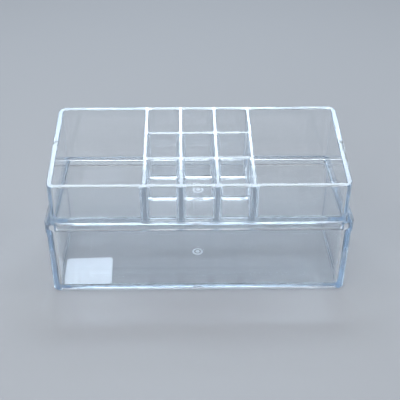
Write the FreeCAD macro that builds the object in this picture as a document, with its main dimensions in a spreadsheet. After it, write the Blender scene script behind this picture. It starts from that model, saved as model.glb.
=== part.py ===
"""Two-tier clear organiser: an open storage box and a compartment tray that plugs into its mouth.

Millimetres, +Z up, +Y towards the back. The origin is the middle of the box's standing face.
"""
import FreeCAD
import Part
import math
import os

import Sketcher

doc = FreeCAD.newDocument("lipstick_holder")

# Driving dimensions: name, value, meaning
DRIVING = [
    ("rim_width", 240.0, "box, outside width across the rim"),
    ("rim_depth", 103.0, "box, outside depth across the rim"),
    ("box_height", 67.2, "box, standing face to rim"),
    ("rim_corner", 7.0, "box, outside corner radius at the rim"),
    ("rim_wall", 4.0, "box, wall thickness round the mouth"),
    ("rim_step", 0.8, "box, how far the rim band stands out of the wall"),
    ("band_slope", 0.6, "box, chamfer under the rim band"),
    ("seat_depth", 7.7, "box, rim down to the ledge that carries the tray"),
    ("band_drop", 2.0, "box, ledge down to the lower edge of the rim band"),
    ("box_wall", 4.4, "box, wall thickness below the ledge"),
    ("box_floor", 3.2, "box, floor thickness"),
    ("box_draft", 0.7, "box, wall draft in degrees"),
    ("box_floor_round", 2.6, "box, radius between floor and walls inside"),
    ("box_edge_round", 2.2, "box, radius of the lower outside edge"),
    ("foot_width", 6.0, "box, standing rim under the floor, from the outside in"),
    ("foot_height", 0.6, "box, how far the standing rim stands below the floor"),
    ("fit_clearance", 0.3, "gap between tray and mouth on each side"),
    ("tray_wall", 4.0, "tray, outside wall and skirt thickness"),
    ("tray_corner", 6.2, "tray, outside corner radius where it leaves the mouth"),
    ("tray_floor", 3.2, "tray, floor thickness"),
    ("tray_draft", 0.5, "tray, wall draft in degrees"),
    ("skirt_height", 5.5, "tray, skirt below the floor"),
    ("front_height", 30.7, "tray, compartment height at the front"),
    ("back_height", 48.9, "tray, compartment height at the back"),
    ("cell_columns", 3, "tray, cells across"),
    ("cell_rows", 3, "tray, cells front to back"),
    ("column_pitch", 28.1, "tray, cell spacing across"),
    ("divider", 3.5, "tray, divider thickness at the floor"),
    ("inside_round", 2.2, "tray, radius of the inside corners and of the floor's edges"),
    ("lip_bevel", 0.4, "both, bevel of the upper rim edges"),
    ("gate_radius", 4.0, "both, dimple left by the moulding gate, radius"),
    ("gate_depth", 0.5, "both, dimple left by the moulding gate, depth"),
    ("gate_nub_radius", 1.1, "both, nub inside the dimple, radius"),
    ("label_width", 39.0, "label, width"),
    ("label_depth", 35.0, "label, depth"),
    ("label_corner", 3.0, "label, corner radius"),
    ("label_thickness", 0.15, "label, paper thickness"),
    ("label_glue", 0.02, "label, glue between paper and floor"),
    ("label_from_side", 27.0, "label, left foot edge of the box to middle of the label"),
    ("label_from_front", 24.8, "label, front foot edge of the box to middle of the label"),
    ("label_turn", 2.5, "label, turn on the floor in degrees"),
]
sheet = doc.addObject("Spreadsheet::Sheet", "sizes")
for row, (alias, value, meaning) in enumerate(DRIVING, start=1):
    sheet.set(f"A{row}", meaning)
    sheet.set(f"B{row}", str(value))
    sheet.setAlias(f"B{row}", alias)
doc.recompute()

# Sizes that follow from the driving ones, as expressions on the sheet
OVERCUT = "2"  # how far a cut runs past the face it leaves through
BOX_LEAN = "tan(sizes.box_draft * 1 deg)"
TRAY_LEAN = "tan(sizes.tray_draft * 1 deg)"

LEDGE_Z = "(sizes.box_height - sizes.seat_depth)"
BAND_Z = f"({LEDGE_Z} - sizes.band_drop)"
FOOT_INSET = f"(sizes.rim_step + {BAND_Z} * {BOX_LEAN})"
FOOT_WIDE = f"(sizes.rim_width - 2 * {FOOT_INSET})"
FOOT_DEEP = f"(sizes.rim_depth - 2 * {FOOT_INSET})"
FOOT_CORNER = f"(sizes.rim_corner - {FOOT_INSET})"
ROOM_INSET = f"(sizes.box_wall - sizes.box_floor * {BOX_LEAN})"
ROOM_WIDE = f"({FOOT_WIDE} - 2 * {ROOM_INSET})"
ROOM_DEEP = f"({FOOT_DEEP} - 2 * {ROOM_INSET})"
MOUTH_WIDE = "(sizes.rim_width - 2 * sizes.rim_wall)"
MOUTH_DEEP = "(sizes.rim_depth - 2 * sizes.rim_wall)"
MOUTH_CORNER = "(sizes.tray_corner + sizes.fit_clearance)"

SKIRT_INSET = f"(sizes.fit_clearance + sizes.seat_depth * {TRAY_LEAN})"
TRAY_WIDE = f"({MOUTH_WIDE} - 2 * {SKIRT_INSET})"
TRAY_DEEP = f"({MOUTH_DEEP} - 2 * {SKIRT_INSET})"
TRAY_CORNER = f"({MOUTH_CORNER} - {SKIRT_INSET})"
INNER_WIDE = f"({TRAY_WIDE} - 2 * sizes.tray_wall)"
INNER_DEEP = f"({TRAY_DEEP} - 2 * sizes.tray_wall)"
UNDER_Z = f"({LEDGE_Z} + sizes.skirt_height)"
FLOOR_Z = f"({UNDER_Z} + sizes.tray_floor)"
FRONT_Z = f"({FLOOR_Z} + sizes.front_height)"
BACK_Z = f"({FLOOR_Z} + sizes.back_height)"
RISE = f"({BACK_Z} - {FRONT_Z})"
ROW_PITCH = f"(({INNER_DEEP} + sizes.divider) / sizes.cell_rows)"
CELL_WIDE = "(sizes.column_pitch - sizes.divider)"
CELL_DEEP = f"({ROW_PITCH} - sizes.divider)"
CELL_X = "((sizes.cell_columns - 1) * sizes.column_pitch / 2)"
CELL_Y = f"((sizes.cell_rows - 1) * {ROW_PITCH} / 2)"
SIDE_WIDE = f"(({INNER_WIDE} - sizes.cell_columns * sizes.column_pitch - sizes.divider) / 2)"
SIDE_X = f"(({INNER_WIDE} - {SIDE_WIDE}) / 2)"
# The bevel is never wider than the divider that it runs along.
TRAY_LIP = "min(sizes.lip_bevel; sizes.divider / 5)"


def size(expression):
    """The number that an expression gives now."""
    found = sheet.evalExpression(expression)
    return float(getattr(found, "Value", found))


# Sketches
def new_body(name):
    body = doc.addObject("PartDesign::Body", name)
    body.Label = name
    return body


def new_sketch(body, name, role="XY_Plane", level=None):
    """An empty sketch on one of the body's origin planes, lifted off it by an expression."""
    sketch = body.newObject("Sketcher::SketchObject", name)
    origin_plane = next(f for f in body.Origin.OriginFeatures if f.Role == role)
    sketch.AttachmentSupport = [(origin_plane, "")]
    sketch.MapMode = "FlatFace"
    sketch.Visibility = False
    if level:
        sketch.setExpression("AttachmentOffset.Base.z", level)
    return sketch


def relate(sketch, kind, *where):
    sketch.addConstraint(Sketcher.Constraint(kind, *where))


def bind(sketch, kind, *where, to):
    """A dimension of a sketch that follows an expression."""
    index = sketch.addConstraint(Sketcher.Constraint(kind, *where, size(to)))
    sketch.setExpression(f"Constraints[{index}]", to)


def closed_lines(sketch, corners):
    """Straight sides that join the corners in turn and close."""
    points = [FreeCAD.Vector(x, y, 0) for x, y in corners]
    ends = points[1:] + points[:1]
    lines = [sketch.addGeometry(Part.LineSegment(a, b), False) for a, b in zip(points, ends)]
    for line, following in zip(lines, lines[1:] + lines[:1]):
        relate(sketch, "Coincident", line, 2, following, 1)
    return lines


def rounded_rectangle(sketch, wide, deep, corner):
    """A centred outline of four sides and four corner arcs, every size bound to an expression."""
    half_wide, half_deep, radius = size(wide) / 2, size(deep) / 2, size(corner)
    up = FreeCAD.Vector(0, 0, 1)
    sides, arcs = [], []
    for turn in range(4):
        along, out = (half_deep, half_wide) if turn % 2 else (half_wide, half_deep)
        spin = FreeCAD.Rotation(up, 90 * turn)
        start = spin.multVec(FreeCAD.Vector(radius - along, -out, 0))
        end = spin.multVec(FreeCAD.Vector(along - radius, -out, 0))
        pivot = spin.multVec(FreeCAD.Vector(along - radius, radius - out, 0))
        sides.append(sketch.addGeometry(Part.LineSegment(start, end), False))
        circle = Part.Circle(pivot, up, radius)
        arc = Part.ArcOfCircle(circle, (turn - 1) * math.pi / 2, turn * math.pi / 2)
        arcs.append(sketch.addGeometry(arc, False))
    for turn in range(4):
        relate(sketch, "Tangent", sides[turn], 2, arcs[turn], 1)
        relate(sketch, "Tangent", arcs[turn], 2, sides[(turn + 1) % 4], 1)
        relate(sketch, "Vertical" if turn % 2 else "Horizontal", sides[turn])
    for arc in arcs[1:]:
        relate(sketch, "Equal", arcs[0], arc)
    front, right, back, left = sides
    bind(sketch, "Radius", arcs[0], to=corner)
    bind(sketch, "DistanceX", left, 1, right, 1, to=wide)
    bind(sketch, "DistanceY", front, 1, back, 1, to=deep)
    bind(sketch, "DistanceX", -1, 1, right, 1, to=f"{wide} / 2")
    bind(sketch, "DistanceY", -1, 1, back, 1, to=f"{deep} / 2")


# Features
def pad(body, name, sketch, length, draft=None):
    """Material that runs up from a sketch and widens by the draft."""
    feature = body.newObject("PartDesign::Pad", name)
    return run_up(feature, sketch, length, draft)


def pocket(body, name, sketch, length, draft=None):
    """A cut that runs up from a sketch and widens by the draft."""
    feature = body.newObject("PartDesign::Pocket", name)
    feature.Reversed = True
    return run_up(feature, sketch, length, draft)


def run_up(feature, sketch, length, draft):
    feature.Profile = sketch
    feature.setExpression("Length", length)
    if draft:
        feature.setExpression("TaperAngle", draft)
    doc.recompute()
    return feature


def fillet(body, name, base, edges, radius):
    feature = body.newObject("PartDesign::Fillet", name)
    feature.Base = (base, edges)
    feature.setExpression("Radius", radius)
    doc.recompute()
    return feature


def chamfer(body, name, base, edges, amount):
    feature = body.newObject("PartDesign::Chamfer", name)
    feature.Base = (base, edges)
    feature.setExpression("Size", amount)
    doc.recompute()
    return feature


def edges_where(feature, test):
    """The names of the edges whose start, middle and end all pass a test."""
    names = []
    for number, edge in enumerate(feature.Shape.Edges, start=1):
        first, span = edge.FirstParameter, edge.LastParameter - edge.FirstParameter
        if all(test(edge.valueAt(first + span * share)) for share in (0, 0.5, 1)):
            names.append(f"Edge{number}")
    return names


def level_edges(feature, level):
    z = size(level)
    return edges_where(feature, lambda point: abs(point.z - z) < 1e-4)


def upright_edges(feature, level):
    """The names of the edges that climb from a level to the rim."""
    z = size(level)
    names = []
    for number, edge in enumerate(feature.Shape.Edges, start=1):
        heights = sorted(vertex.Z - z for vertex in edge.Vertexes)
        if abs(heights[0]) < 1e-4 and heights[-1] > 1e-4:
            names.append(f"Edge{number}")
    return names


def gate_dimple(body, name, level):
    """The shallow round dimple with a low nub that the moulding gate leaves on an underside."""
    profile = new_sketch(body, name + "_profile", "XZ_Plane")
    z, deep = size(level), size("sizes.gate_depth")
    rim, nub = size("sizes.gate_radius"), size("sizes.gate_nub_radius")
    corners = [(0, z), (rim, z), (rim - deep, z + deep), (nub, z + deep), (0, z + deep / 2)]
    mouth, flank, roof, nub_side, axis = closed_lines(profile, corners)
    relate(profile, "Horizontal", mouth)
    relate(profile, "Horizontal", roof)
    relate(profile, "PointOnObject", mouth, 1, -2)
    relate(profile, "PointOnObject", axis, 1, -2)
    bind(profile, "DistanceX", mouth, 1, mouth, 2, to="sizes.gate_radius")
    bind(profile, "DistanceX", roof, 1, flank, 1, to="sizes.gate_depth")
    bind(profile, "DistanceX", mouth, 1, nub_side, 1, to="sizes.gate_nub_radius")
    bind(profile, "DistanceY", mouth, 1, roof, 1, to="sizes.gate_depth")
    bind(profile, "DistanceY", mouth, 1, axis, 1, to="sizes.gate_depth / 2")
    bind(profile, "DistanceY", -1, 1, mouth, 1, to=level)
    groove = body.newObject("PartDesign::Groove", name)
    groove.Profile = profile
    groove.ReferenceAxis = (profile, ["V_Axis"])
    doc.recompute()


# Storage box: drafted walls, a rim band that steps out, a ledge inside it and a standing rim below
def storage_box():
    body = new_body("storage_box")

    foot_outline = new_sketch(body, "foot_outline")
    rounded_rectangle(foot_outline, FOOT_WIDE, FOOT_DEEP, FOOT_CORNER)
    pad(body, "walls", foot_outline, BAND_Z, "sizes.box_draft")

    rim_outline = new_sketch(body, "rim_outline", level=BAND_Z)
    rounded_rectangle(rim_outline, "sizes.rim_width", "sizes.rim_depth", "sizes.rim_corner")
    band = pad(body, "rim_band", rim_outline, f"sizes.box_height - {BAND_Z}")
    band_edges = edges_where(band, lies_on(rim_outline))
    chamfer(body, "rim_band_slope", band, band_edges, "sizes.band_slope")

    room_outline = new_sketch(body, "room_outline", level="sizes.box_floor")
    rounded_rectangle(room_outline, ROOM_WIDE, ROOM_DEEP, FOOT_CORNER)
    room_height = f"sizes.box_height - sizes.box_floor + {OVERCUT}"
    room = pocket(body, "room", room_outline, room_height, "sizes.box_draft")
    floor_edges = level_edges(room, "sizes.box_floor")
    fillet(body, "room_floor_round", room, floor_edges, "sizes.box_floor_round")

    mouth_outline = new_sketch(body, "mouth_outline", level=LEDGE_Z)
    rounded_rectangle(mouth_outline, MOUTH_WIDE, MOUTH_DEEP, MOUTH_CORNER)
    mouth = pocket(body, "mouth", mouth_outline, f"sizes.seat_depth + {OVERCUT}")
    lip = chamfer(body, "box_lip", mouth, level_edges(mouth, "sizes.box_height"), "sizes.lip_bevel")
    fillet(body, "lower_edge", lip, level_edges(lip, "0"), "sizes.box_edge_round")

    under_outline = new_sketch(body, "box_under_outline")
    under_wide = f"({FOOT_WIDE} - 2 * sizes.foot_width)"
    under_deep = f"({FOOT_DEEP} - 2 * sizes.foot_width)"
    rounded_rectangle(under_outline, under_wide, under_deep, "sizes.box_edge_round")
    pocket(body, "standing_rim", under_outline, "sizes.foot_height")
    gate_dimple(body, "box_gate", "sizes.foot_height")
    return body


def lies_on(sketch):
    """A test for points on the outline of a sketch."""
    outline = sketch.Shape
    return lambda point: outline.distToShape(Part.Vertex(point))[0] < 1e-4


# Tray: one moulding with a sloping rim, a grid of cells between two side compartments, and a skirt
def lipstick_tray():
    body = new_body("lipstick_tray")

    tray_outline = new_sketch(body, "tray_outline", level=LEDGE_Z)
    rounded_rectangle(tray_outline, TRAY_WIDE, TRAY_DEEP, TRAY_CORNER)
    pad(body, "block", tray_outline, f"{BACK_Z} - {LEDGE_Z} + {OVERCUT}", "sizes.tray_draft")
    sloping_rim(body)

    under_outline = new_sketch(body, "tray_under_outline", level=LEDGE_Z)
    rounded_rectangle(under_outline, INNER_WIDE, INNER_DEEP, "sizes.inside_round")
    pocket(body, "skirt", under_outline, "sizes.skirt_height")

    cell = drafted_hollow(body, "cell", CELL_WIDE, CELL_DEEP, CELL_X, CELL_Y)
    cell_grid(body, cell, under_outline)
    side = drafted_hollow(body, "side_compartment", SIDE_WIDE, INNER_DEEP, SIDE_X, "0")
    sides = body.newObject("PartDesign::Mirrored", "side_compartments")
    sides.Originals = [side]
    sides.MirrorPlane = (under_outline, ["V_Axis"])
    body.Tip = sides
    doc.recompute()

    lip = chamfer(body, "tray_lip", sides, edges_where(sides, lies_on_slope), TRAY_LIP)
    inside_edges = level_edges(lip, FLOOR_Z) + upright_edges(lip, FLOOR_Z)
    fillet(body, "inside_rounds", lip, inside_edges, "sizes.inside_round")
    gate_dimple(body, "tray_gate", UNDER_Z)
    return body


def drafted_hollow(body, name, wide, deep, middle_x, middle_y):
    """A four-sided cut from the compartment floor up past the rim, wider at the top by the draft."""
    hollow = body.newObject("PartDesign::SubtractiveWedge", name)
    upright_plane = next(f for f in body.Origin.OriginFeatures if f.Role == "XZ_Plane")
    hollow.AttachmentSupport = [(upright_plane, "")]
    hollow.MapMode = "FlatFace"
    height = f"({BACK_Z} - {FLOOR_Z} + {RISE})"
    spread = f"{height} * {TRAY_LEAN}"
    # On this plane the wedge's own Y runs up and its own Z runs towards the front.
    hollow.setExpression("Ymin", FLOOR_Z)
    hollow.setExpression("Ymax", f"{FLOOR_Z} + {height}")
    for side, sign in (("min", "-"), ("max", "+")):
        x_face = f"{middle_x} {sign} {wide} / 2"
        z_face = f"{sign} {deep} / 2 - {middle_y}"
        hollow.setExpression(f"X{side}", x_face)
        hollow.setExpression(f"Z{side}", z_face)
        hollow.setExpression(f"X2{side}", f"{x_face} {sign} {spread}")
        hollow.setExpression(f"Z2{side}", f"{z_face} {sign} {spread}")
    doc.recompute()
    return hollow


def sloping_rim(body):
    """Cuts the block's top along a line that climbs from the front rim to the back rim.

    The wedge that is cut away reaches half a depth past the front and the back.
    """
    wedge = new_sketch(body, "rim_slope", "YZ_Plane")
    low, high = f"{FRONT_Z} - {RISE} / 2", f"{BACK_Z} + {RISE} / 2"
    reach, z_low, z_high = size(TRAY_DEEP), size(low), size(high)
    slope, top, front = closed_lines(wedge, [(-reach, z_low), (reach, z_high), (-reach, z_high)])
    relate(wedge, "Horizontal", top)
    relate(wedge, "Vertical", front)
    bind(wedge, "DistanceX", slope, 1, -1, 1, to=TRAY_DEEP)
    bind(wedge, "DistanceX", -1, 1, slope, 2, to=TRAY_DEEP)
    bind(wedge, "DistanceY", -1, 1, slope, 1, to=low)
    bind(wedge, "DistanceY", -1, 1, slope, 2, to=high)
    cut = body.newObject("PartDesign::Pocket", "sloping_rim")
    cut.Profile = wedge
    cut.SideType = "Symmetric"
    cut.setExpression("Length", f"2 * {TRAY_WIDE}")
    doc.recompute()


def lies_on_slope(point):
    """True for a point in the plane of the sloping rim."""
    middle = (size(FRONT_Z) + size(BACK_Z)) / 2
    return abs(point.z - middle - point.y * size(RISE) / size(TRAY_DEEP)) < 1e-3


def cell_grid(body, cell, outline):
    """Repeats the right-hand back cell leftwards and forwards."""
    grid = body.newObject("PartDesign::MultiTransform", "cells")
    grid.Originals = [cell]
    steps = [
        ("cells_across", "H_Axis", "sizes.column_pitch", "sizes.cell_columns"),
        ("cells_forward", "V_Axis", ROW_PITCH, "sizes.cell_rows"),
    ]
    patterns = []
    for name, axis, pitch, count in steps:
        pattern = body.newObject("PartDesign::LinearPattern", name)
        pattern.Direction = (outline, [axis])
        pattern.Reversed = True
        pattern.setExpression("Length", f"({count} - 1) * {pitch}")
        pattern.setExpression("Occurrences", count)
        patterns.append(pattern)
    grid.Transformations = patterns
    body.Tip = grid
    doc.recompute()


# Label: plain paper under the box floor, inside the standing rim
def blank_label():
    body = new_body("blank_label")
    outline = new_sketch(body, "label_outline")
    rounded_rectangle(outline, "sizes.label_width", "sizes.label_depth", "sizes.label_corner")
    pad(body, "paper", outline, "sizes.label_thickness")
    body.setExpression("Placement.Base.x", f"sizes.label_from_side - {FOOT_WIDE} / 2")
    body.setExpression("Placement.Base.y", f"sizes.label_from_front - {FOOT_DEEP} / 2")
    body.setExpression("Placement.Base.z", "sizes.foot_height - sizes.label_glue - sizes.label_thickness")
    body.setExpression("Placement.Rotation.Angle", "sizes.label_turn")
    return body


pieces = [storage_box(), lipstick_tray(), blank_label()]
doc.recompute()

for thing in doc.Objects:
    if "Invalid" in thing.State or "Error" in thing.State:
        raise RuntimeError(f"{thing.Name} did not build: {thing.State}")
for piece in pieces:
    if piece.Shape.isNull() or not piece.Shape.isValid() or len(piece.Shape.Solids) != 1:
        raise RuntimeError(f"{piece.Label} is not one valid solid")
os.makedirs("parts", exist_ok=True)
for piece in pieces:
    piece.Shape.exportStep(f"parts/{piece.Label}.step")
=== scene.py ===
"""Looks of a clear two-tier organiser: finishes for its mouldings and label, and the studio round it."""
import math

import bpy
from bpy.props import FloatProperty, FloatVectorProperty, PointerProperty
from mathutils import Euler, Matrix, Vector


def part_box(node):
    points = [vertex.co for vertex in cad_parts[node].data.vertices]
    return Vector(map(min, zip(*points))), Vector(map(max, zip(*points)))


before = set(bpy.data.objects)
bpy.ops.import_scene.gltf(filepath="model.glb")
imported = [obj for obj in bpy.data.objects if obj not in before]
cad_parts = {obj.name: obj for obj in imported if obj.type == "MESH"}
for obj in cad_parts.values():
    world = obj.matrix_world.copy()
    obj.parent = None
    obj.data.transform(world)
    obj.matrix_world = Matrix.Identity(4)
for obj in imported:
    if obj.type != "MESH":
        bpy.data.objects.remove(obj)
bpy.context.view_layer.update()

bl_info = {
    "name": "Clear organiser looks",
    "version": (1, 0, 0),
    "blender": (4, 5, 0),
    "location": "3D View > Sidebar > Organiser",
    "description": "Finishes the clear mouldings and the label and sets up the studio",
    "category": "Object",
}

PHOTO_PIXELS = 400
SENSOR_WIDTH = 36.0

# How far the underside of each moulding lies above its lowest edge, in metres
BOX_FOOT = 0.0006
TRAY_SKIRT = 0.0055

# How far above the underside the frost of the gate mark reaches and over what height it ends, in metres
FROST_REACH = 0.0009
FROST_FADE = 0.0003

# Shares of the gate mark's radius over which the frost of its edge, rim and nub goes from none to full
FROST_EDGE = (1.0, 0.95)
FROST_RIM = (0.60, 0.72)
FROST_NUB = (0.42, 0.32)

# How much frost is left between rim and nub
FROST_BETWEEN = 0.4

# Values of the noise between which a handled patch and a paper fleck build up
HAZE_SPAN = (0.45, 0.75)
FLECK_SPAN = (0.62, 0.35)

# How much fine grain adds to a roughness
ROUGH_GRAIN = 0.2

# Air that a moulding has under it even when it stands on the floor, in metres
STANDING_GAP = 0.0001

# Clear walls that light may cross or be turned back by on its way
WALLS_CROSSED = 48

# Place and aim in metres, width and height of the softbox in metres, brightness of its face
SIDE_STRIP = {"aim": (0.0, 0.0, 0.06), "wide": 0.50, "high": 1.10, "brightness": 2.5}
LAMPS = {
    "front_softbox": {
        "place": (-0.45, -1.25, 0.90), "aim": (0.0, 0.0, 0.04),
        "wide": 1.80, "high": 1.10, "brightness": 2.2},
    "left_strip": {"place": (-1.05, -0.05, 0.60), **SIDE_STRIP},
    "right_strip": {"place": (1.05, -0.05, 0.60), **SIDE_STRIP},
}
RIM_LAMP = {
    "place": (0.0, 0.78, 1.12), "aim": (0.0, 0.0, 0.08),
    "wide": 0.90, "high": 0.29, "brightness": 9.5}


# Settings
class PlasticSettings(bpy.types.PropertyGroup):
    """The clear moulded plastic of both tiers."""
    tint: FloatVectorProperty(
        name="Tint", description="Colour of light that has crossed a wall",
        default=(0.972, 0.984, 0.993), size=3, subtype="COLOR", min=0, max=1)
    speck_tint: FloatVectorProperty(
        name="Speck tint", description="Colour of the finest specks in the plastic",
        default=(0.968, 0.979, 0.988), size=3, subtype="COLOR", min=0, max=1)
    speck_width: FloatProperty(
        name="Speck width", description="Size of the finest specks",
        default=0.0006, unit="LENGTH", subtype="DISTANCE", min=0.0001, precision=5)
    depth_tint: FloatVectorProperty(
        name="Depth tint", description="Colour that long ways through the plastic take on",
        default=(0.62, 0.80, 0.95), size=3, subtype="COLOR", min=0, max=1)
    depth_density: FloatProperty(
        name="Depth density", description="How fast the depth tint builds up", default=8.0, min=0)
    refraction: FloatProperty(
        name="Refractive index", description="Bending of light in the plastic", default=1.52, min=1, max=2)
    gloss: FloatProperty(
        name="Roughness", description="Roughness of the clean surface", default=0.012, min=0, max=1)
    haze: FloatProperty(
        name="Haze", description="Extra roughness where the surface is handled", default=0.03, min=0, max=1)
    haze_width: FloatProperty(
        name="Haze width", description="Size of the handled patches",
        default=0.05, unit="LENGTH", subtype="DISTANCE", min=0.001)
    wave_width: FloatProperty(
        name="Flow wave", description="Width of the waves that the mould flow leaves",
        default=0.024, unit="LENGTH", subtype="DISTANCE", min=0.001)
    wave_depth: FloatProperty(
        name="Flow depth", description="Depth of those waves",
        default=0.00003, unit="LENGTH", subtype="DISTANCE", min=0, precision=6)
    gate_radius: FloatProperty(
        name="Gate mark", description="Radius of the frosted spot that the moulding gate leaves",
        default=0.0047, unit="LENGTH", subtype="DISTANCE", min=0, precision=4)
    frost: FloatVectorProperty(
        name="Frost", description="Colour of the frosted spot",
        default=(0.94, 0.96, 0.98), size=3, subtype="COLOR", min=0, max=1)
    frost_cover: FloatProperty(
        name="Frost cover", description="How much of the frosted spot is no longer clear",
        default=0.95, min=0, max=1, subtype="FACTOR")
    frost_rough: FloatProperty(
        name="Frost roughness", description="Roughness of the frosted spot", default=0.55, min=0, max=1)


class LabelSettings(bpy.types.PropertyGroup):
    """The blank paper label."""
    paper: FloatVectorProperty(
        name="Paper", description="Colour of the paper",
        default=(0.86, 0.90, 0.95), size=3, subtype="COLOR", min=0, max=1)
    fibre: FloatVectorProperty(
        name="Fibre", description="Colour of the darker fibres",
        default=(0.76, 0.79, 0.83), size=3, subtype="COLOR", min=0, max=1)
    fibre_share: FloatProperty(
        name="Fibre share", description="How strongly the fibres show",
        default=0.3, min=0, max=1, subtype="FACTOR")
    fibre_width: FloatProperty(
        name="Fibre width", description="Size of the fibre flecks",
        default=0.0009, unit="LENGTH", subtype="DISTANCE", min=0.0001, precision=5)
    fibre_depth: FloatProperty(
        name="Fibre depth", description="How far the fibres stand out of the sheet",
        default=0.00004, unit="LENGTH", subtype="DISTANCE", min=0, precision=6)
    roughness: FloatProperty(
        name="Roughness", description="Roughness of the paper", default=0.62, min=0, max=1)


class StudioSettings(bpy.types.PropertyGroup):
    """Camera, floor and lamps."""
    camera_place: FloatVectorProperty(
        name="Camera place", description="Where the camera stands",
        default=(-0.0140, -0.530, 0.4185), size=3, subtype="TRANSLATION", unit="LENGTH")
    camera_pitch: FloatProperty(
        name="Camera pitch", description="How far the camera looks down",
        default=math.radians(31.48), subtype="ANGLE", unit="ROTATION")
    camera_yaw: FloatProperty(
        name="Camera yaw", description="How far the camera looks to the right",
        default=math.radians(0.62), subtype="ANGLE", unit="ROTATION")
    focal_pixels: FloatProperty(
        name="Focal length", description="Focal length in pixels of the picture", default=770.0, min=1)
    shift: FloatVectorProperty(
        name="Lens shift", description="Shift of the frame, in frame widths", default=(0.03, -0.1), size=2)
    floor: FloatVectorProperty(
        name="Floor", description="Colour of the floor",
        default=(0.40, 0.415, 0.44), size=3, subtype="COLOR", min=0, max=1)
    floor_cloud: FloatVectorProperty(
        name="Floor clouds", description="Colour of the floor where it is a little darker",
        default=(0.388, 0.403, 0.427), size=3, subtype="COLOR", min=0, max=1)
    floor_cloud_width: FloatProperty(
        name="Cloud width", description="Size of those darker clouds",
        default=0.6, unit="LENGTH", subtype="DISTANCE", min=0.01)
    floor_rough: FloatProperty(
        name="Floor roughness", description="Roughness of the floor", default=0.7, min=0, max=1)
    floor_solid: FloatProperty(
        name="Solid floor", description="How far out the floor starts to fade into the room",
        default=0.72, unit="LENGTH", subtype="DISTANCE")
    floor_reach: FloatProperty(
        name="Floor reach", description="How far the floor runs before it has faded into the room",
        default=1.8, unit="LENGTH", subtype="DISTANCE")
    room: FloatVectorProperty(
        name="Room", description="Light that comes from all round",
        default=(0.33, 0.345, 0.375), size=3, subtype="COLOR", min=0, max=1)
    lamp_tint: FloatVectorProperty(
        name="Lamp tint", description="Colour of the softboxes at the front and sides",
        default=(1.0, 1.0, 1.0), size=3, subtype="COLOR", min=0, max=1)
    rim_tint: FloatVectorProperty(
        name="Rim lamp tint", description="Colour of the softbox that the rims mirror",
        default=(0.80, 0.91, 1.0), size=3, subtype="COLOR", min=0, max=1)


# Shader building
class Field:
    """A shader socket that takes part in Python arithmetic and adds its Math nodes as it goes."""

    def __init__(self, shader, socket):
        self.shader = shader
        self.socket = socket

    def _math(self, operation, first, second):
        return self.shader.node("ShaderNodeMath", {"operation": operation}, {0: first, 1: second})

    def __add__(self, other):
        return self._math("ADD", self, other)

    __radd__ = __add__

    def __mul__(self, other):
        return self._math("MULTIPLY", self, other)

    __rmul__ = __mul__


class Shader:
    """A new material and the one way its nodes are added."""

    def __init__(self, name):
        self.material = bpy.data.materials.new(name)
        self.material.use_nodes = True
        self.tree = self.material.node_tree
        self.tree.nodes.clear()

    def node(self, kind, settings=None, sockets=None, output=0):
        """Adds a node: its settings first, then the values or links of its sockets. Gives one output."""
        made = self.tree.nodes.new(kind)
        for name, value in (settings or {}).items():
            if name == "stops":
                set_stops(made.color_ramp, value)
            else:
                setattr(made, name, value)
        for key, value in (sockets or {}).items():
            socket = find_socket(made.inputs, key)
            if isinstance(value, Field):
                self.tree.links.new(value.socket, socket)
            else:
                socket.default_value = value
        return Field(self, find_socket(made.outputs, output)) if made.outputs else None

    def place(self):
        return self.node("ShaderNodeTexCoord", output="Object")

    def noise(self, width, detail, rough=0.5):
        """Soft noise whose features are about as wide as given, from 0 to 1."""
        sockets = {"Vector": self.place(), "Scale": 1 / width, "Detail": detail, "Roughness": rough}
        return self.node("ShaderNodeTexNoise", sockets=sockets)

    def fade(self, factor, span):
        """Turns a factor into a grey that runs from black to white over the given span."""
        black, white = span
        stops = sorted([(black, (0, 0, 0, 1)), (white, (1, 1, 1, 1))])
        return self.node("ShaderNodeValToRGB", {"stops": stops}, {"Fac": factor})

    def mix(self, factor, first, second):
        """A colour between two colours."""
        sockets = {"Factor_Float": factor, "A_Color": (*first, 1.0), "B_Color": (*second, 1.0)}
        return self.node("ShaderNodeMix", {"data_type": "RGBA"}, sockets, "Result_Color")

    def mix_surfaces(self, factor, first, second):
        return self.node("ShaderNodeMixShader", sockets={0: factor, 1: first, 2: second})

    def bump(self, height, depth):
        return self.node("ShaderNodeBump", sockets={"Height": height, "Distance": depth, "Strength": 1.0})

    def soft_step(self, value, outside, inside):
        """Rises from 0 at the outside value to 1 at the inside value."""
        settings = {"interpolation_type": "SMOOTHSTEP"}
        sockets = {"Value": value, "From Min": outside, "From Max": inside, "To Min": 0.0, "To Max": 1.0}
        return self.node("ShaderNodeMapRange", settings, sockets)

    def distance(self, point):
        """How far a point is from the origin."""
        return self.node("ShaderNodeVectorMath", {"operation": "LENGTH"}, {0: point}, "Value")

    def finish(self, outputs):
        self.node("ShaderNodeOutputMaterial", sockets=outputs)
        return self.material


def find_socket(sockets, key):
    """A socket by its number, or by its identifier, because some sockets of a node share a name."""
    if isinstance(key, int):
        return sockets[key]
    return next(socket for socket in sockets if socket.identifier == key)


def set_stops(ramp, stops):
    """Gives a colour ramp its stops, each a position and a colour."""
    while len(ramp.elements) > 1:
        ramp.elements.remove(ramp.elements[-1])
    for number, (position, colour) in enumerate(stops):
        element = ramp.elements[0] if number == 0 else ramp.elements.new(position)
        element.position = position
        element.color = colour


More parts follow.
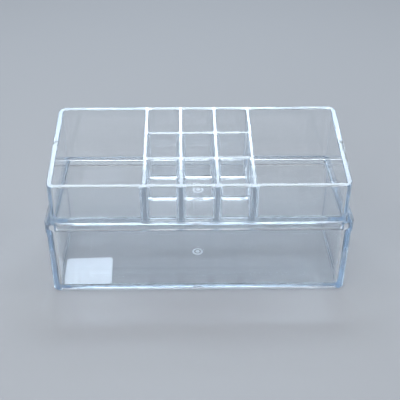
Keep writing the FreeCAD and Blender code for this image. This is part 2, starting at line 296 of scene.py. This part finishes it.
# Finishes
def clear_plastic(name, settings, underside):
    """Clear moulded plastic: slow flow waves, haze where hands touch it, a frosted spot at the gate."""
    shader = Shader(name)
    gate = gate_mark(shader, settings.gate_radius, underside)
    waves = shader.noise(settings.wave_width, detail=1.0)
    specks = shader.noise(settings.speck_width, detail=1.0)
    patches = shader.noise(settings.haze_width, detail=4.0, rough=0.6)
    handled = shader.fade(patches, HAZE_SPAN)
    skin = shader.node("ShaderNodeBsdfPrincipled", sockets={
        "Base Color": shader.mix(specks, settings.tint, settings.speck_tint),
        "Roughness": settings.gloss + handled * settings.haze + gate * settings.frost_rough,
        "IOR": settings.refraction,
        "Transmission Weight": 1.0,
        "Normal": shader.bump(waves, settings.wave_depth),
    })
    frost = shader.node("ShaderNodeBsdfPrincipled", sockets={
        "Base Color": (*settings.frost, 1.0),
        "Roughness": settings.frost_rough + specks * ROUGH_GRAIN,
    })
    depth = shader.node("ShaderNodeVolumeAbsorption", sockets={
        "Color": (*settings.depth_tint, 1.0),
        "Density": settings.depth_density,
    })
    surface = shader.mix_surfaces(gate * settings.frost_cover, skin, frost)
    return shader.finish({"Surface": surface, "Volume": depth})


def gate_mark(shader, radius, underside):
    """Frost of the round gate spot in the middle of an underside: full on its rim and nub, thin between."""
    place = shader.place()
    flat = shader.node("ShaderNodeVectorMath", {"operation": "MULTIPLY"}, {0: place, 1: (1, 1, 0)})
    from_middle = shader.distance(flat)
    parts = (FROST_EDGE, FROST_RIM, FROST_NUB)
    spot, rim, nub = (shader.soft_step(from_middle, radius * none, radius * full) for none, full in parts)
    frost = FROST_BETWEEN + (rim + nub) * (1 - FROST_BETWEEN)
    height = shader.node("ShaderNodeSeparateXYZ", sockets={"Vector": place}, output="Z")
    top = underside + FROST_REACH
    return spot * frost * shader.soft_step(height, top + FROST_FADE, top)


def label_paper(settings):
    """Uncoated paper with a faint fibre."""
    shader = Shader("label_paper")
    fibre = shader.noise(settings.fibre_width, detail=3.0, rough=0.65)
    flecks = shader.fade(fibre, FLECK_SPAN)
    sheet = shader.node("ShaderNodeBsdfPrincipled", sockets={
        "Base Color": shader.mix(flecks * settings.fibre_share, settings.paper, settings.fibre),
        "Roughness": settings.roughness + fibre * ROUGH_GRAIN,
        "Normal": shader.bump(fibre, settings.fibre_depth),
    })
    return shader.finish({"Surface": sheet})


def studio_floor(settings):
    """A pale matt floor with a barely uneven tone, which fades into the room's colour far out."""
    shader = Shader("studio_floor")
    cloud = shader.noise(settings.floor_cloud_width, detail=2.0)
    matt = shader.node("ShaderNodeBsdfPrincipled", sockets={
        "Base Color": shader.mix(cloud, settings.floor, settings.floor_cloud),
        "Roughness": settings.floor_rough,
    })
    room = shader.node("ShaderNodeBsdfTransparent")
    solid = shader.soft_step(shader.distance(shader.place()), settings.floor_reach, settings.floor_solid)
    return shader.finish({"Surface": shader.mix_surfaces(solid, room, matt)})


def dress(node_name, material):
    """Gives a CAD node one finish on all its slots."""
    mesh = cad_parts[node_name].data
    if not mesh.materials:
        mesh.materials.append(material)
    for index in range(len(mesh.materials)):
        mesh.materials[index] = material


def lowest_edge(node_name):
    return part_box(node_name)[0][2]


# Studio
def lay_floor(context, settings):
    reach = settings.floor_reach
    outline = [(-reach, -reach), (reach, -reach), (reach, reach), (-reach, reach)]
    mesh = bpy.data.meshes.new("floor")
    mesh.from_pydata([(x, y, -STANDING_GAP) for x, y in outline], [], [(0, 1, 2, 3)])
    mesh.materials.append(studio_floor(settings))
    floor = bpy.data.objects.new("floor", mesh)
    context.collection.objects.link(floor)


def light_room(context, settings):
    world = bpy.data.worlds.new("room")
    world.use_nodes = True
    background = next(node for node in world.node_tree.nodes if node.type == "BACKGROUND")
    background.inputs["Color"].default_value = (*settings.room, 1.0)
    context.scene.world = world


def hang_lamp(context, name, tint, place, aim, wide, high, brightness):
    """A softbox whose face is as bright as given, where 1 is a white wall in full light."""
    lamp = bpy.data.lights.new(name, "AREA")
    lamp.shape = "RECTANGLE"
    lamp.size = wide
    lamp.size_y = high
    lamp.energy = math.pi * wide * high * brightness
    lamp.color = tint
    holder = bpy.data.objects.new(name, lamp)
    holder.location = place
    holder.rotation_euler = (Vector(aim) - Vector(place)).to_track_quat("-Z", "Y").to_euler()
    holder.visible_camera = False
    context.collection.objects.link(holder)


def place_camera(context, settings):
    lens = bpy.data.cameras.new("camera")
    lens.sensor_width = SENSOR_WIDTH
    lens.lens = settings.focal_pixels * SENSOR_WIDTH / PHOTO_PIXELS
    lens.shift_x, lens.shift_y = settings.shift
    camera = bpy.data.objects.new("camera", lens)
    camera.location = settings.camera_place
    camera.rotation_euler = Euler((math.pi / 2 - settings.camera_pitch, 0, -settings.camera_yaw))
    context.collection.objects.link(camera)
    context.scene.camera = camera


def follow_light_through(context):
    """Lets light cross all the clear walls that stand behind each other, and run along inside them."""
    paths = context.scene.cycles
    paths.max_bounces = WALLS_CROSSED
    paths.transmission_bounces = WALLS_CROSSED
    paths.glossy_bounces = WALLS_CROSSED
    paths.blur_glossy = 0.0
    paths.caustics_refractive = True
    paths.caustics_reflective = True


# Operators
class ORGANISER_OT_mouldings(bpy.types.Operator):
    """Finishes the storage box and the lipstick tray as clear moulded plastic"""
    bl_idname = "organiser.mouldings"
    bl_label = "Finish the mouldings"

    def execute(self, context):
        settings = context.scene.organiser_plastic
        box_underside = lowest_edge("storage_box") + BOX_FOOT
        tray_underside = lowest_edge("lipstick_tray") + TRAY_SKIRT
        dress("storage_box", clear_plastic("clear_box", settings, box_underside))
        dress("lipstick_tray", clear_plastic("clear_tray", settings, tray_underside))
        return {"FINISHED"}


class ORGANISER_OT_label(bpy.types.Operator):
    """Finishes the blank label as plain paper"""
    bl_idname = "organiser.label"
    bl_label = "Finish the label"

    def execute(self, context):
        dress("blank_label", label_paper(context.scene.organiser_label))
        return {"FINISHED"}


class ORGANISER_OT_studio(bpy.types.Operator):
    """Sets up the floor, the lamps, the room light and the camera"""
    bl_idname = "organiser.studio"
    bl_label = "Set up the studio"

    def execute(self, context):
        settings = context.scene.organiser_studio
        lay_floor(context, settings)
        light_room(context, settings)
        hang_lamp(context, "rim_softbox", settings.rim_tint, **RIM_LAMP)
        for name, lamp in LAMPS.items():
            hang_lamp(context, name, settings.lamp_tint, **lamp)
        place_camera(context, settings)
        follow_light_through(context)
        context.scene.view_settings.view_transform = "Standard"
        return {"FINISHED"}


class ORGANISER_PT_panel(bpy.types.Panel):
    """Lists the steps and the sizes and colours that they use"""
    bl_idname = "ORGANISER_PT_panel"
    bl_label = "Organiser"
    bl_space_type = "VIEW_3D"
    bl_region_type = "UI"
    bl_category = "Organiser"

    def draw(self, context):
        for step in STEPS:
            self.layout.operator(step.bl_idname)
        for group in SETTINGS.values():
            settings = getattr(context.scene, group)
            for name in settings.bl_rna.properties.keys():
                if name not in ("rna_type", "name"):
                    self.layout.prop(settings, name)


STEPS = (ORGANISER_OT_mouldings, ORGANISER_OT_label, ORGANISER_OT_studio)
SETTINGS = {
    PlasticSettings: "organiser_plastic",
    LabelSettings: "organiser_label",
    StudioSettings: "organiser_studio",
}
CLASSES = (*SETTINGS, *STEPS, ORGANISER_PT_panel)


def register():
    for kind in CLASSES:
        bpy.utils.register_class(kind)
    for group, name in SETTINGS.items():
        setattr(bpy.types.Scene, name, PointerProperty(type=group))


def unregister():
    for name in SETTINGS.values():
        delattr(bpy.types.Scene, name)
    for kind in reversed(CLASSES):
        bpy.utils.unregister_class(kind)


def main():
    register()
    bpy.ops.organiser.mouldings()
    bpy.ops.organiser.label()
    bpy.ops.organiser.studio()


if __name__ == "__main__":
    main()
